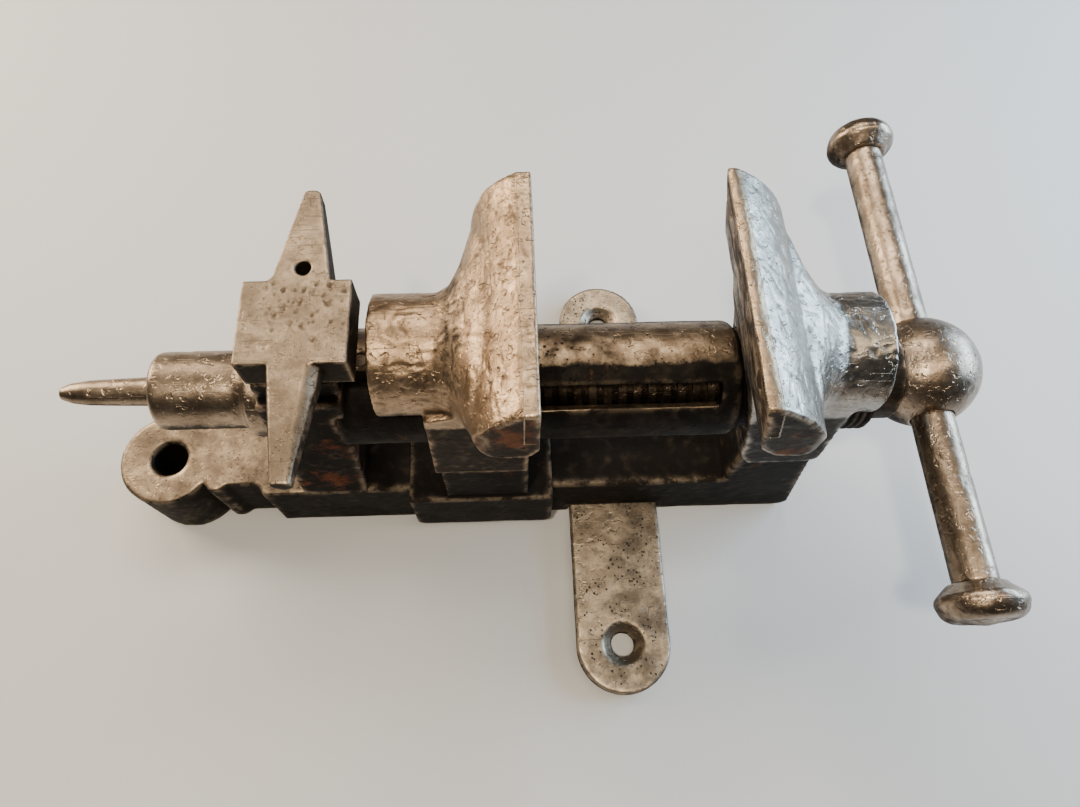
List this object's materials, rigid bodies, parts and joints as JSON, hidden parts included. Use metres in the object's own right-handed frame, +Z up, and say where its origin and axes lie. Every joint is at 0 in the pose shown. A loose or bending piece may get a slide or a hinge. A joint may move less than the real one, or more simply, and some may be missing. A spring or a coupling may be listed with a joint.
{
  "type": "jeweller's bench vise with ring horn",
  "caption": "Small forged bench vise with sliding jaw on a slotted guide barrel, stake anvil, stepped round horn for ring work, ball-head screw and sliding handle bar.",
  "frame": {"origin": "midway between the two strap holes, on the bench plane under the bar", "axes": "+X along the bar towards the screw's ball head, +Y across the jaws to the back, +Z up from the bench"},
  "size_m": [0.2277, 0.1445, 0.1141],
  "materials": {
    "forged_iron": "hand-forged, worn and browned",
    "strap_iron": "flat forged strap with dark mottling",
    "horn_steel": "turned, worn satin with scratches",
    "anvil_steel": "filed face with pits and dents",
    "barrel_iron": "dark stained and pitted",
    "jaw_steel": "file-cut gripping face",
    "rivet_iron": "peened and filed flush",
    "screw_steel": "oiled square-cut thread",
    "handle_steel": "polished by the hand, browned"
  },
  "bodies": {
    "frame": {"base_bar": "forged_iron", "cross_strap": "strap_iron", "strap_rivets": "rivet_iron", "rear_post": "forged_iron", "anvil_pin": "rivet_iron", "horn_mandrel": "horn_steel", "anvil": "anvil_steel", "guide_barrel": "barrel_iron", "barrel_pin": "rivet_iron", "fixed_jaw": "forged_iron", "fixed_jaw_face": "jaw_steel", "fixed_face_rivets": "rivet_iron", "jaw_tenon": "rivet_iron", "thrust_collar": "barrel_iron"},
    "moving_jaw": {"moving_jaw": "forged_iron", "moving_jaw_face": "jaw_steel", "moving_face_rivets": "rivet_iron", "carriage": "forged_iron", "leg_dowels": "rivet_iron", "drive_nut": "screw_steel", "nut_key": "screw_steel"},
    "screw": {"lead_screw": "screw_steel", "ball_head": "handle_steel", "head_pin": "rivet_iron", "cup_washer": "screw_steel", "retaining_ring": "screw_steel", "ring_pin": "rivet_iron"},
    "handle": {"tommy_bar": "handle_steel", "tommy_cap_front": "handle_steel", "tommy_cap_rear": "handle_steel"}
  },
  "joints": [
    {"name": "jaw_slide", "type": "slide", "parent": "frame", "child": "moving_jaw", "axis": [1, 0, 0], "range_m": [0, 0.04]},
    {"name": "screw_turn", "type": "hinge", "parent": "frame", "child": "screw", "pos_m": [0.0695, 0, 0.071], "axis": [1, 0, 0], "range_deg": [-4116, 1]},
    {"name": "handle_slide", "type": "slide", "parent": "screw", "child": "handle", "axis": [0, 1, 0], "range_m": [-0.054, 0.038]}
  ],
  "couplings": [
    {"joint": "screw_turn", "follows": "jaw_slide", "rad_per_m": -1795.2}
  ]
}
